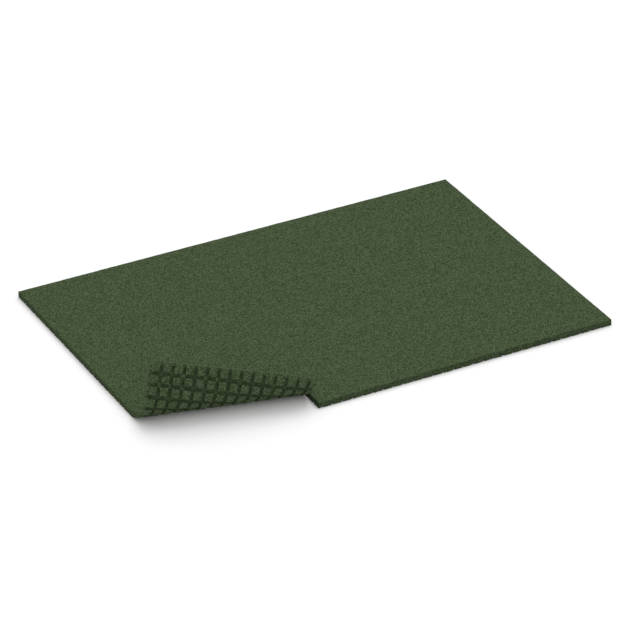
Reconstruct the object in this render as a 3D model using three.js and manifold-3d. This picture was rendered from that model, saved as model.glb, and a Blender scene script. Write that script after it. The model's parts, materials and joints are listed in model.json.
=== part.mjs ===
// Rubber stall mat: one sheet of bonded rubber granulate with square lugs underneath. It lies flat on the
// floor, except for its front left corner, which is freed by a straight cut and curls up to show the lugs.
// Millimetres, +Z up. X runs along the long side, and the origin is on the floor under the middle.
import * as THREE from 'three';
import { mergeVertices } from 'three/addons/utils/BufferGeometryUtils.js';
import Module from 'manifold-3d';

// Sheet
const matLength = 1500;
const matWidth = 1000;
const matThickness = 20;

// Lugs, left standing between two sets of crossing grooves
const lugPitch = 34;
const grooveWidth = 9.4;
const grooveDepth = 5;

// Cut that frees the corner: it runs in from the front edge through a row of lugs, to a little past the line
// where the curl starts
const cutFromLeftSide = 498.5;
const cutWidth = 2;
const cutPastCurl = 3;

// Curl: from a straight line across the corner the sheet rolls up round a cylinder, and then runs straight.
// The top face keeps its length.
const curlStartOnLeftSide = 236;
const curlSkew = THREE.MathUtils.degToRad(13.6);
const curlInnerRadius = 75;
const curlAngle = THREE.MathUtils.degToRad(107.5);
const curlFacets = 12;

// How far a body that cuts reaches past the sheet, and how near two points are that count as level
const overshoot = 5;
const sameLevel = 1e-3;

const left = -matLength / 2;
const front = -matWidth / 2;

// Centre lines of the grooves across a span, a pitch apart from its left or front end, with a lug at both ends
function grooveLines(span) {
  const count = Math.floor((span - grooveWidth) / lugPitch);
  return Array.from({ length: count }, (_, i) => (i + 1) * lugPitch - span / 2);
}

const crossLines = grooveLines(matLength);
const lengthwiseLines = grooveLines(matWidth);
const cutX = left + cutFromLeftSide;
const grooveBesideCut = crossLines.find((line) => line > cutX);

// Directions in plan: along the line where the curl starts, and square to it towards the corner
const curlStart = new THREE.Vector2(left, front + curlStartOnLeftSide);
const alongCurl = new THREE.Vector2(Math.cos(curlSkew), -Math.sin(curlSkew));
const acrossCurl = new THREE.Vector2(-Math.sin(curlSkew), -Math.cos(curlSkew));
const curlArc = curlInnerRadius * curlAngle;

const fromCurlStart = (p) => new THREE.Vector2(p.x, p.y).sub(curlStart);
const pastCurlLine = (p) => fromCurlStart(p).dot(acrossCurl);
const curlLineY = (x) => curlStart.y - (x - left) * Math.tan(curlSkew);

const wasm = await Module();
wasm.setup();

function solid(geometry) {
  geometry.deleteAttribute('normal');
  geometry.deleteAttribute('uv');
  const merged = mergeVertices(geometry);
  const vertProperties = merged.attributes.position.array;
  const triVerts = new Uint32Array(merged.index.array);
  return new wasm.Manifold(new wasm.Mesh({ numProp: 3, vertProperties, triVerts }));
}

function box([lowX, highX], [lowY, highY], [lowZ, highZ]) {
  const geometry = new THREE.BoxGeometry(highX - lowX, highY - lowY, highZ - lowZ);
  return solid(geometry.translate((lowX + highX) / 2, (lowY + highY) / 2, (lowZ + highZ) / 2));
}

// An upright prism over an outline in plan
function prism(outline, [lowZ, highZ]) {
  const shape = new THREE.Shape(outline.map(([x, y]) => new THREE.Vector2(x, y)));
  const geometry = new THREE.ExtrudeGeometry(shape, { depth: highZ - lowZ, bevelEnabled: false });
  return solid(geometry.translate(0, 0, lowZ));
}

const fullLength = [left - overshoot, -left + overshoot];
const fullWidth = [front - overshoot, -front + overshoot];
const fullThickness = [-overshoot, matThickness + overshoot];
const grooveHeight = [-overshoot, grooveDepth];
const besideLine = (line) => [line - grooveWidth / 2, line + grooveWidth / 2];

// The grooves across the mat run from edge to edge
const crossGroove = (line) => box(besideLine(line), fullWidth, grooveHeight);

// Of the lengthwise grooves, the outermost two run from edge to edge, and those that pass under the corner
// reach the first groove beyond the cut. Under the middle of the mat only their mouths are made, as far in as
// the first cross groove.
function lengthwiseRuns(line) {
  if (line === lengthwiseLines[0] || line === lengthwiseLines.at(-1)) return [fullLength];
  const underCorner = line - grooveWidth / 2 < curlStart.y;
  return [
    [fullLength[0], underCorner ? grooveBesideCut : crossLines[0]],
    [crossLines.at(-1), fullLength[1]],
  ];
}

const lengthwiseGrooves = (line) =>
  lengthwiseRuns(line).map((run) => box(run, besideLine(line), grooveHeight));

function cut() {
  const sides = [cutX - cutWidth / 2, cutX + cutWidth / 2];
  return box(sides, [fullWidth[0], curlLineY(sides[0]) + cutPastCurl], fullThickness);
}

function flatSheet() {
  const sheet = box([left, -left], [front, -front], [0, matThickness]);
  const removed = [...crossLines.map(crossGroove), ...lengthwiseLines.flatMap(lengthwiseGrooves), cut()];
  return removed.reduce((body, piece) => body.subtract(piece), sheet);
}

// The space left of the cut that lies more than `past` beyond the line where the curl starts
function cornerBeyond(past) {
  const setBack = past / Math.cos(curlSkew);
  const clearOfFront = front - curlStartOnLeftSide;
  const outline = [
    [fullLength[0], clearOfFront],
    [cutX, clearOfFront],
    [cutX, curlLineY(cutX) - setBack],
    [fullLength[0], curlLineY(fullLength[0]) - setBack],
  ];
  return prism(outline, fullThickness);
}

// Moves a point of the flat sheet to its place on the curled corner
function curled(p) {
  const past = pastCurlLine(p);
  if (past < sameLevel) return p;
  const turn = curlAngle * Math.min(past / curlArc, 1);
  const straight = Math.max(past - curlArc, 0);
  const radius = curlInnerRadius + matThickness - p.z;
  const reach = radius * Math.sin(turn) + straight * Math.cos(turn);
  const height = matThickness + curlInnerRadius - radius * Math.cos(turn) + straight * Math.sin(turn);
  const plan = curlStart.clone().addScaledVector(alongCurl, fromCurlStart(p).dot(alongCurl));
  plan.addScaledVector(acrossCurl, reach);
  return new THREE.Vector3(plan.x, plan.y, height);
}

const levels = Array.from({ length: curlFacets + 1 }, (_, i) => (i * curlArc) / curlFacets);
const liesAt = (p, level) => Math.abs(pastCurlLine(p) - level) < sameLevel;

// The triangles of a piece, without those on the faces where it was parted from its neighbours
function outerTriangles(piece) {
  const { vertProperties, triVerts } = piece.getMesh();
  const point = (v) => new THREE.Vector3().fromArray(vertProperties, 3 * v);
  const triangles = [];
  for (let i = 0; i < triVerts.length; i += 3) {
    triangles.push([...triVerts.slice(i, i + 3)].map(point));
  }
  return triangles.filter((triangle) => !levels.some((level) => triangle.every((p) => liesAt(p, level))));
}

// Lists the points where pieces were parted, each once, and makes the pieces share them exactly
function seamPoints(triangles) {
  const seam = [];
  triangles.flat().forEach((p) => {
    if (!levels.some((level) => liesAt(p, level))) return;
    const known = seam.find((q) => q.distanceTo(p) < sameLevel);
    if (known) p.copy(known);
    else seam.push(p);
  });
  return seam;
}

// Splits a triangle at the points of a neighbouring piece that lie on one of its edges
function splitAtSeam(triangle, seam) {
  const split = triangle.map((a, i) => {
    const b = triangle[(i + 1) % 3];
    const side = new THREE.Line3(a, b);
    return seam.filter((p) => {
      const onSide = side.closestPointToPoint(p, true, new THREE.Vector3());
      return [a, b].every((end) => end.distanceTo(onSide) > sameLevel) && p.distanceTo(onSide) < sameLevel;
    });
  });
  const edge = split.findIndex((points) => points.length > 0);
  if (edge < 0) return [triangle];
  const [a, b, c] = [0, 1, 2].map((i) => triangle[(edge + i) % 3]);
  const run = [a, ...split[edge].sort((p, q) => p.distanceTo(a) - q.distanceTo(a)), b];
  return run.slice(1).map((p, i) => [run[i], p, c]);
}

// The flat sheet, parted along the facets of the curl, with each piece of the corner bent to its place and
// all of them closed up again where they were parted
function curledSheet() {
  const pieces = [];
  let rest = flatSheet();
  levels.map(cornerBeyond).forEach((beyond) => {
    pieces.push(rest.subtract(beyond));
    rest = rest.intersect(beyond);
  });
  const parted = [...pieces, rest].map(outerTriangles);
  const seam = seamPoints(parted.flat());
  const fitted = parted.map((triangles) => triangles.flatMap((triangle) => splitAtSeam(triangle, seam)));
  const [flat, ...bent] = fitted.map((triangles) => triangles.flat());
  return mergeVertices(new THREE.BufferGeometry().setFromPoints([...flat, ...bent.flat().map(curled)]));
}

const granulateRubber = new THREE.MeshStandardMaterial({
  color: 0x47543c,
  roughness: 0.92,
  metalness: 0,
  flatShading: true,
});

const stallMat = new THREE.Mesh(curledSheet(), granulateRubber);
stallMat.name = 'stall_mat';

const mat = new THREE.Group();
mat.add(stallMat);

export default mat;
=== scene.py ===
import json
import math

import bmesh
import bpy
import numpy as np
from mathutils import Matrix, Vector, noise


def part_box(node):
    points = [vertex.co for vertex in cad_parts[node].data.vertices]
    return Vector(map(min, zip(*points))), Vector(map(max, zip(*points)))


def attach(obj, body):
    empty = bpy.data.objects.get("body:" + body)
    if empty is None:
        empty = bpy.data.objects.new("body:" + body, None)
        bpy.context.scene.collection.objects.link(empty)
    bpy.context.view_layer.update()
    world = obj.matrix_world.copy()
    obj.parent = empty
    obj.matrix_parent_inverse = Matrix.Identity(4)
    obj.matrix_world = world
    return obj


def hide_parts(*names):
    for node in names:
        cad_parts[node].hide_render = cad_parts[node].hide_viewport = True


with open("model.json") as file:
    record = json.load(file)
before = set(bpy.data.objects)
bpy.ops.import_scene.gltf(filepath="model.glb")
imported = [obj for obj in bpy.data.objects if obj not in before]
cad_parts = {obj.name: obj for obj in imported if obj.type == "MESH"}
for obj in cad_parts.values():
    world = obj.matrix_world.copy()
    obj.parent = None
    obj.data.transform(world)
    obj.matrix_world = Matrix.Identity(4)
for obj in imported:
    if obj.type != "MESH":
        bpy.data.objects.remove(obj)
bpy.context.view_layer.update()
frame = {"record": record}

mounts = {mount["name"]: mount for mount in frame["record"]["mounts"]}
right_back_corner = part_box("stall_mat")[1]

# Sheet, read from the frame: its right and back sides, and its top face, lie on the solid's
LENGTH = 2 * right_back_corner.x
WIDTH = 2 * right_back_corner.y
THICKNESS = mounts["walking_surface"]["pos_m"][2]
LEFT = -LENGTH / 2
FRONT = -WIDTH / 2
SHEET_EDGE_ROUNDING = 0.0010

# Lugs, left standing between two sets of crossing grooves
LUG_PITCH = 0.034
GROOVE_WIDTH = 0.0094
GROOVE_DEPTH = 0.005
GROOVE_WALL_SLOPE = 0.0008
LUG_ROUNDING = 0.0013
LUG_CORNER_RADIUS = 0.003
LUG_CORNER_PULL = 0.3 * LUG_CORNER_RADIUS

# Cut that frees the corner
CUT_FROM_LEFT_SIDE = 0.4985
CUT_WIDTH = 0.002
CUT_PAST_CURL = 0.003

# Curl of the corner
CURL_START_ON_LEFT_SIDE = 0.236
CURL_SKEW = math.radians(13.6)
CURL_INNER_RADIUS = 0.075
CURL_ANGLE = math.radians(107.5)
CURL_STEPS = 35

# Mesh: where it is divided across a rounded edge, how fine it is where the edges crumble, the angle from
# which an edge is drawn sharp, and how near counts as the same place, on the outline and on a face
SHEET_EDGE_STEPS = (0.3 * SHEET_EDGE_ROUNDING, SHEET_EDGE_ROUNDING)
LUG_EDGE_STEPS = (0.3 * LUG_ROUNDING, LUG_ROUNDING)
SIDE_ROWS = 4
SIDE_SPACING = 0.006
LEAST_SPACING = 0.0002
SHARP_EDGE = math.radians(32)
SAME_PLACE = 1e-6
ON_OUTLINE = 1e-5
ON_FACE = 1e-4

# Wear: which pattern the grains crumble away in, their size, and how deep they go at the sheet's edges and
# on the lugs
WORN_PATTERN = 1
WORN_GRAIN = 0.004
EDGE_WEAR = 0.0007
LUG_WEAR = 0.0004

# Granulate: the sizes of its crumbs, how rough they lie, and the colours of the rubber and of its painted
# shade
CRUMB = 0.0027
FINE_CRUMB = 0.0015
FINE_CRUMB_SHARE = 0.2
FINE_CRUMB_RELIEF = 0.4
RELIEF_DEPTH = 0.0006
RELIEF_STRENGTH = 0.4
SMOOTHEST = 0.82
ROUGHEST = 0.98
SHINE = 0.04
DARK_CRUMB = (0.010, 0.017, 0.005, 1)
LIGHT_CRUMB = (0.102, 0.145, 0.072, 1)
EVEN_RUBBER = (0.050, 0.068, 0.036, 1)
# Painted shade in the crevices between the crumbs
CREVICE_SHADE = (0.012, 0.018, 0.009, 1)
# Painted shade on the sheet's sides, fading out above the sheet's thickness on the curl
LOW_SIDE_SHADE = (0.006, 0.009, 0.004, 1)
# Painted shade on the cut face, where the curled corner shadows it
CUT_FACE_SHADE = (0.004, 0.006, 0.003, 1)
# Painted shade in the grooves of the underside
GROOVE_SHADE = (0.007, 0.010, 0.003, 1)

# How much of those colours shows, the painted shade's included
CREVICE_WIDTH = 0.12
CREVICE_SHADE_STRENGTH = 0.35
BLOTCHES_PER_METRE = 14.0
BLOTCH_DETAIL = 3.0
BLOTCH_RANGE = (0.35, 0.65)
BLOTCH_STRENGTH = 0.12
LOW_SIDE_SHADE_STRENGTH = 0.3
CUT_FACE_SHADE_STRENGTH = 0.4
GROOVE_SHADE_STRENGTH = 0.47

# Painted shade in the grooves: none up to the first distance in from the mat's edges, full from the second
GROOVE_UNSHADED_TO = 0.006
GROOVE_SHADED_FROM = 0.010

# Camera, solved from the corners of the top face
CAMERA_PLACE = (-5.0497, -9.3619, 6.2694)
CAMERA_AIM = (-0.0061, -0.0233, 0.0)
CAMERA_LENS = 233.02

# Studio: a white floor just under the lugs, and an even white surround
FLOOR_HALF_SIZE = 30
FLOOR_HEIGHT = -0.0002
FLOOR_WHITE = (0.93, 0.93, 0.93, 1)
SURROUND_STRENGTH = 0.95


def groove_lines(span):
    """Centre lines of the grooves across a span, a pitch apart from its left or front end."""
    count = math.floor((span - GROOVE_WIDTH) / LUG_PITCH)
    return np.array([(i + 1) * LUG_PITCH - span / 2 for i in range(count)])


ACROSS = groove_lines(LENGTH)
LENGTHWISE = groove_lines(WIDTH)
CUT_X = LEFT + CUT_FROM_LEFT_SIDE
CURL_START = np.array([LEFT, FRONT + CURL_START_ON_LEFT_SIDE])
ALONG_CURL = np.array([math.cos(CURL_SKEW), -math.sin(CURL_SKEW)])
ACROSS_CURL = np.array([-math.sin(CURL_SKEW), -math.cos(CURL_SKEW)])
CURL_ARC = CURL_INNER_RADIUS * CURL_ANGLE
CUT_END = CURL_START[1] - (CUT_X - CUT_WIDTH / 2 - LEFT) * math.tan(CURL_SKEW) + CUT_PAST_CURL


def rounded(distance, radius):
    """How far a rounded edge of that radius has dropped at a distance in from it."""
    inside = np.clip(distance, 0, radius)
    return radius - np.sqrt(radius**2 - (radius - inside) ** 2)


def from_cut(x, y):
    """Distance from the cut, 0 on its sides and at its end."""
    return np.hypot(np.maximum(np.abs(x - CUT_X) - CUT_WIDTH / 2, 0), np.maximum(y - CUT_END, 0))


def from_outline(x, y):
    """Distance in from the sheet's outline, the cut's sides included."""
    sides = np.minimum(np.minimum(x - LEFT, -LEFT - x), np.minimum(y - FRONT, -FRONT - y))
    return np.minimum(sides, from_cut(x, y))


def from_groove(places, lines):
    """Signed distance of each place from the nearest groove's centre line."""
    offsets = places[:, None] - lines[None, :]
    return offsets[np.arange(len(places)), np.abs(offsets).argmin(1)]


def mesh_lines(span, lines, fine_below, extra):
    """Where the mesh is divided across a span: at every edge of lug, groove and sheet."""
    half = GROOVE_WIDTH / 2
    plain = [half - GROOVE_WALL_SLOPE, half]
    fine = plain + [half + step for step in LUG_EDGE_STEPS]
    places = [-span / 2, span / 2]
    for step in SHEET_EDGE_STEPS:
        places += [-span / 2 + step, span / 2 - step]
    for line in lines:
        for offset in fine if line < fine_below else plain:
            places += [line - offset, line + offset]
    places = sorted(places + extra)
    kept = [places[0]]
    for place in places[1:]:
        if place - kept[-1] > LEAST_SPACING:
            kept.append(place)
    return np.array(kept)


def underside_height(x, y, fine):
    """Height of the underside above the floor before the corner is curled, and how far the grooves are."""
    def over(offset):
        away = np.abs(offset)
        lug_edge = np.where(fine, rounded(away - GROOVE_WIDTH / 2, LUG_ROUNDING), 0.0)
        in_groove = away < GROOVE_WIDTH / 2 - GROOVE_WALL_SLOPE / 2
        return np.where(in_groove, GROOVE_DEPTH, lug_edge)

    offset_x = np.broadcast_to(from_groove(x[:, 0], ACROSS)[:, None], x.shape)
    offset_y = np.broadcast_to(from_groove(y[0], LENGTHWISE)[None, :], y.shape)
    return np.maximum(over(offset_x), over(offset_y)), offset_x, offset_y


def rounded_corners(x, y, offset_x, offset_y, fine):
    """Draws the corners of the lugs in, so that they are round in plan."""
    reach = GROOVE_WIDTH / 2 + LUG_CORNER_RADIUS

    def nearness(offset):
        return np.clip((reach - np.abs(offset)) / LUG_CORNER_RADIUS, 0, 1)

    pull = LUG_CORNER_PULL * nearness(offset_x) * nearness(offset_y)
    pull = pull * fine * (from_outline(x, y) > SHEET_EDGE_ROUNDING)
    return x + pull * np.sign(offset_x), y + pull * np.sign(offset_y)


def mesh_points():
    """The grid of the flat sheet: its lines each way, and its points on the top and on the underside."""
    fine_length = CUT_X + GROOVE_WIDTH
    fine_width = CURL_START[1] + GROOVE_WIDTH
    groove_ends = (GROOVE_UNSHADED_TO, GROOVE_SHADED_FROM)
    cut_edge = (0, *SHEET_EDGE_STEPS)
    more_xs = [CUT_X + side * (CUT_WIDTH / 2 + step) for step in cut_edge for side in (-1, 1)]
    more_xs += [LEFT + step for step in groove_ends]
    more_ys = [CUT_END + step for step in cut_edge] + [FRONT + step for step in groove_ends]
    xs = mesh_lines(LENGTH, ACROSS, fine_length, more_xs)
    ys = mesh_lines(WIDTH, LENGTHWISE, fine_width, more_ys)
    x, y = np.meshgrid(xs, ys, indexing="ij")
    fine = (x < fine_length) & (y < fine_width)
    drop = rounded(from_outline(x, y), SHEET_EDGE_ROUNDING)
    under, offset_x, offset_y = underside_height(x, y, fine)
    under_x, under_y = rounded_corners(x, y, offset_x, offset_y, fine)
    tops = np.stack([x, y, THICKNESS - drop], -1).reshape(-1, 3)
    unders = np.stack([under_x, under_y, np.maximum(under, drop)], -1).reshape(-1, 3)
    return xs, ys, np.concatenate([tops, unders])


def flat_sheet():
    """The closed mesh of the flat sheet, with its lugs and its cut."""
    xs, ys, points = mesh_points()
    rows, columns = len(xs), len(ys)
    below = rows * columns
    mid_x = (xs[:-1] + xs[1:]) / 2
    mid_y = (ys[:-1] + ys[1:]) / 2
    in_cut = (np.abs(mid_x - CUT_X) < CUT_WIDTH / 2)[:, None] & (mid_y < CUT_END)[None, :]
    kept = np.pad(~in_cut, 1)
    faces = []
    for i in range(rows - 1):
        for j in range(columns - 1):
            if not kept[i + 1, j + 1]:
                continue
            a = i * columns + j
            b = a + columns
            faces.append((a, b, b + 1, a + 1))
            faces.append((below + a, below + a + 1, below + b + 1, below + b))
            sides = (
                (kept[i + 1, j], a, b),
                (kept[i + 2, j + 1], b, b + 1),
                (kept[i + 1, j + 2], b + 1, a + 1),
                (kept[i, j + 1], a + 1, a),
            )
            faces += [(p, below + p, below + q, q) for inner, p, q in sides if not inner]
    mesh = bpy.data.meshes.new("sheet")
    mesh.from_pydata(points.tolist(), [], faces)
    return mesh


def divide_sides(mesh):
    """Divides the sheet's sides into rows, and their long edges into short ones, so that they can wear."""
    bm = bmesh.new()
    bm.from_mesh(mesh)
    bmesh.ops.delete(bm, geom=[v for v in bm.verts if not v.link_faces], context="VERTS")
    bm.normal_update()

    def upright(edge):
        a, b = (v.co for v in edge.verts)
        return (a.xy - b.xy).length < SAME_PLACE and abs(a.z - b.z) > THICKNESS / 3

    sides = [edge for edge in bm.edges if upright(edge)]
    bmesh.ops.subdivide_edges(bm, edges=sides, cuts=SIDE_ROWS - 1, use_grid_fill=True)
    bm.normal_update()

    def long_and_level(edge):
        on_side = any(abs(face.normal.z) < 0.5 for face in edge.link_faces)
        level = abs(edge.verts[0].co.z - edge.verts[1].co.z) < SAME_PLACE
        on_outline = all(from_outline(v.co.x, v.co.y) < ON_OUTLINE for v in edge.verts)
        return on_side and level and on_outline and edge.calc_length() > 2 * SIDE_SPACING

    runs = [edge for edge in bm.edges if long_and_level(edge)]
    cuts = round((LUG_PITCH - GROOVE_WIDTH) / SIDE_SPACING) - 1
    bmesh.ops.subdivide_edges(bm, edges=runs, cuts=cuts, use_grid_fill=True)
    return bm


def divide_curl(bm):
    """Divides the corner along lines that lie side by side round the curl."""
    start = Vector(CURL_START)
    across = Vector(ACROSS_CURL)
    corner = [v for v in bm.verts if v.co.x < CUT_X and (v.co.xy - start).dot(across) > 0]
    faces = {face for v in corner for face in v.link_faces}
    edges = {edge for face in faces for edge in face.edges}
    parts = list(faces | edges | {v for face in faces for v in face.verts})
    for step in range(CURL_STEPS + 1):
        point = CURL_START + ACROSS_CURL * CURL_ARC * step / CURL_STEPS
        parts = bmesh.ops.bisect_plane(
            bm,
            geom=parts,
            dist=SAME_PLACE,
            plane_co=(*point, 0),
            plane_no=(*ACROSS_CURL, 0),
        )["geom"]


def mark_painted_shade(mesh, flat, lying):
    """Marks where shade is painted into the colour: in the grooves, on the cut, and low on the sides. It
    takes the points as they are on the flat sheet, and as they lie in the end."""
    x, y, z = flat.T
    beside_groove = np.minimum(np.abs(from_groove(x, ACROSS)), np.abs(from_groove(y, LENGTHWISE)))
    in_groove = (beside_groove < GROOVE_WIDTH / 2 + ON_FACE) & (z < GROOVE_DEPTH + ON_FACE)
    from_edges = np.minimum(x - LEFT, y - FRONT)
    groove_shade_share = np.clip((from_edges - GROOVE_UNSHADED_TO) / (GROOVE_SHADED_FROM - GROOVE_UNSHADED_TO), 0, 1)
    on_side = np.clip(1 - from_outline(x, y) / SHEET_EDGE_ROUNDING, 0, 1)
    low = np.clip(2 - lying[:, 2] / THICKNESS, 0, 1)
    # How much shade is painted at each point: in the grooves, on the cut face, and low on the sides
    marks = {
        "in_groove": in_groove * np.clip(z / GROOVE_DEPTH, 0, 1) * groove_shade_share,
        "on_cut_face": from_cut(x, y) < ON_FACE,
        "low_on_side": on_side * low,
    }
    for name, values in marks.items():
        mesh.attributes.new(name, "FLOAT", "POINT").data.foreach_set("value", values.astype(np.float32))


def wear(points):
    """Crumbles the sheet's edges and the lugs by a grain or less, always inwards."""
    away = from_outline(points[:, 0], points[:, 1])
    on_edge = np.clip(1 - away / (2 * SHEET_EDGE_ROUNDING), 0, 1)
    on_lug = points[:, 2] < GROOVE_DEPTH + ON_FACE
    reach = EDGE_WEAR * on_edge + LUG_WEAR * on_lug * (1 - on_edge)
    noise.seed_set(WORN_PATTERN)
    grain = np.array([noise.noise_vector(Vector(p) / WORN_GRAIN) for p in points])
    moved = points + grain * reach[:, None]
    return np.clip(moved, (LEFT, FRONT, 0), (-LEFT, -FRONT, THICKNESS))


def curl(points):
    """Rolls the corner left of the cut up round the curl's cylinder."""
    plan = points[:, :2] - CURL_START
    past = plan @ ACROSS_CURL
    turn = CURL_ANGLE * np.clip(past / CURL_ARC, 0, 1)
    straight = np.maximum(past - CURL_ARC, 0)
    radius = CURL_INNER_RADIUS + THICKNESS - points[:, 2]
    reach = radius * np.sin(turn) + straight * np.cos(turn)
    height = THICKNESS + CURL_INNER_RADIUS - radius * np.cos(turn) + straight * np.sin(turn)
    along = plan @ ALONG_CURL
    place = CURL_START + along[:, None] * ALONG_CURL + reach[:, None] * ACROSS_CURL
    rolled = np.column_stack([place, height])
    corner = (past > 0) & (points[:, 0] < CUT_X)
    return np.where(corner[:, None], rolled, points)


class Wire:
    """A node's output. Arithmetic on it adds Math nodes."""

    def __init__(self, finish, socket):
        self.finish = finish
        self.socket = socket

    def math(self, operation, other):
        return self.finish.node("ShaderNodeMath", {"operation": operation}, {0: self, 1: other})

    def __add__(self, other):
        return self.math("ADD", other)

    def __mul__(self, other):
        return self.math("MULTIPLY", other)


class Finish:
    """A material and the nodes that make it."""

    def __init__(self, name):
        self.material = bpy.data.materials.new(name)
        self.material.use_nodes = True
        self.tree = self.material.node_tree
        self.tree.nodes.clear()

    def node(self, kind, settings, inputs, output=0):
        made = self.tree.nodes.new(kind)
        for name, value in settings.items():
            setattr(made, name, value)
        for name, value in inputs.items():
            if isinstance(value, Wire):
                self.tree.links.new(value.socket, made.inputs[name])
            else:
                made.inputs[name].default_value = value
        return Wire(self, made.outputs[output])

    def mix(self, share, first, second):
        inputs = {"Factor": share, 6: first, 7: second}
        return self.node("ShaderNodeMix", {"data_type": "RGBA"}, inputs, 2)

    def mark(self, name):
        return self.node("ShaderNodeAttribute", {"attribute_name": name}, {}, "Fac")

    def ramp(self, value, start, end, low, high):
        ends = {"From Min": start, "From Max": end, "To Min": low, "To Max": high}
        return self.node("ShaderNodeMapRange", {}, {"Value": value, **ends})

    def surface(self, inputs):
        shader = self.node("ShaderNodeBsdfPrincipled", {}, inputs, "BSDF")
        out = self.tree.nodes.new("ShaderNodeOutputMaterial")
        self.tree.links.new(shader.socket, out.inputs["Surface"])
        return self.material


def granulate_rubber():
    """Dark green rubber crumb, bonded into an open, dull, fine-grained surface, with shade painted into its
    colour.
    """
    rubber = Finish("granulate_rubber")
    place = rubber.node("ShaderNodeTexCoord", {}, {}, "Object")

    def crumbs(size, output, feature="F1"):
        inputs = {"Vector": place, "Scale": 1 / size}
        return rubber.node("ShaderNodeTexVoronoi", {"feature": feature}, inputs, output)

    def shade_of(size, channel):
        return rubber.node("ShaderNodeSeparateColor", {}, {"Color": crumbs(size, "Color")}, channel)

    fine = shade_of(FINE_CRUMB, "Green")
    lightness = shade_of(CRUMB, "Red") * (1 - FINE_CRUMB_SHARE) + fine * FINE_CRUMB_SHARE
    crumb = rubber.mix(lightness, DARK_CRUMB, LIGHT_CRUMB)
    blotch_inputs = {"Vector": place, "Scale": BLOTCHES_PER_METRE, "Detail": BLOTCH_DETAIL}
    blotch = rubber.node("ShaderNodeTexNoise", {}, blotch_inputs, "Fac")
    evened = rubber.mix(rubber.ramp(blotch, *BLOTCH_RANGE, 0.0, BLOTCH_STRENGTH), crumb, EVEN_RUBBER)
    gaps = crumbs(CRUMB, "Distance", "DISTANCE_TO_EDGE")
    # Painted shade in the crevices between the crumbs
    crevice_shade = rubber.ramp(gaps, 0.0, CREVICE_WIDTH, CREVICE_SHADE_STRENGTH, 0.0)
    packed = rubber.mix(crevice_shade, evened, CREVICE_SHADE)
    # Painted shade on the sheet's sides
    sides = rubber.mix(rubber.mark("low_on_side") * LOW_SIDE_SHADE_STRENGTH, packed, LOW_SIDE_SHADE)
    # Painted shade on the cut face, where the curled corner shadows it
    cut = rubber.mix(rubber.mark("on_cut_face") * CUT_FACE_SHADE_STRENGTH, sides, CUT_FACE_SHADE)
    # Painted shade in the grooves
    colour = rubber.mix(rubber.mark("in_groove") * GROOVE_SHADE_STRENGTH, cut, GROOVE_SHADE)
    relief = crumbs(CRUMB, "Distance") * -1.0 + crumbs(FINE_CRUMB, "Distance") * -FINE_CRUMB_RELIEF
    bump_inputs = {"Strength": RELIEF_STRENGTH, "Distance": RELIEF_DEPTH, "Height": relief}
    return rubber.surface({
        "Base Color": colour,
        "Roughness": rubber.ramp(fine, 0.0, 1.0, SMOOTHEST, ROUGHEST),
        "Specular IOR Level": SHINE,
        "Normal": rubber.node("ShaderNodeBump", {}, bump_inputs, "Normal"),
    })


def place_mat():
    mesh = flat_sheet()
    bm = divide_sides(mesh)
    divide_curl(bm)
    bm.normal_update()
    bm.to_mesh(mesh)
    bm.free()
    flat = np.zeros(len(mesh.vertices) * 3)
    mesh.vertices.foreach_get("co", flat)
    flat = flat.reshape(-1, 3)
    lying = curl(wear(flat))
    mark_painted_shade(mesh, flat, lying)
    mesh.vertices.foreach_set("co", lying.ravel())
    mesh.update()
    mesh.polygons.foreach_set("use_smooth", [True] * len(mesh.polygons))
    mesh.set_sharp_from_angle(angle=SHARP_EDGE)
    mesh.materials.append(granulate_rubber())
    mat = bpy.data.objects.new("lugged_rubber_sheet", mesh)
    bpy.context.scene.collection.objects.link(mat)
    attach(mat, "root")
    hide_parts("stall_mat")


def camera_at(place, aim, lens):
    data = bpy.data.cameras.new("photo_camera")
    data.lens = lens
    data.sensor_width = 36
    data.clip_end = 100
    camera = bpy.data.objects.new("photo_camera", data)
    camera.location = place
    camera.rotation_euler = (Vector(aim) - Vector(place)).to_track_quat("-Z", "Y").to_euler()
    bpy.context.scene.collection.objects.link(camera)
    bpy.context.scene.camera = camera


def wide_light(name, elevation, azimuth, spread, strength):
    """A far, wide and soft light. Degrees: above the floor, and round from +X towards +Y."""
    data = bpy.data.lights.new(name, "SUN")
    data.energy = strength
    data.angle = math.radians(spread)
    light = bpy.data.objects.new(name, data)
    light.rotation_euler = (0, math.radians(90 - elevation), math.radians(azimuth))
    bpy.context.scene.collection.objects.link(light)


def white_floor():
    sides = ((-1, -1), (1, -1), (1, 1), (-1, 1))
    corners = [(x * FLOOR_HALF_SIZE, y * FLOOR_HALF_SIZE, FLOOR_HEIGHT) for x, y in sides]
    mesh = bpy.data.meshes.new("studio_floor")
    mesh.from_pydata(corners, [], [(0, 1, 2, 3)])
    matt_white = {"Base Color": FLOOR_WHITE, "Roughness": 0.9, "Specular IOR Level": 0.1}
    mesh.materials.append(Finish("white_floor").surface(matt_white))
    floor = bpy.data.objects.new("studio_floor", mesh)
    bpy.context.scene.collection.objects.link(floor)


def white_surround():
    world = bpy.data.worlds.new("studio")
    world.use_nodes = True
    background = world.node_tree.nodes["Background"]
    background.inputs["Color"].default_value = (1, 1, 1, 1)
    background.inputs["Strength"].default_value = SURROUND_STRENGTH
    bpy.context.scene.world = world


camera_at(CAMERA_PLACE, CAMERA_AIM, CAMERA_LENS)
place_mat()
white_floor()
white_surround()
wide_light("overhead_softbox", elevation=66, azimuth=40, spread=40, strength=0.75)
bpy.context.scene.view_settings.view_transform = "Standard"
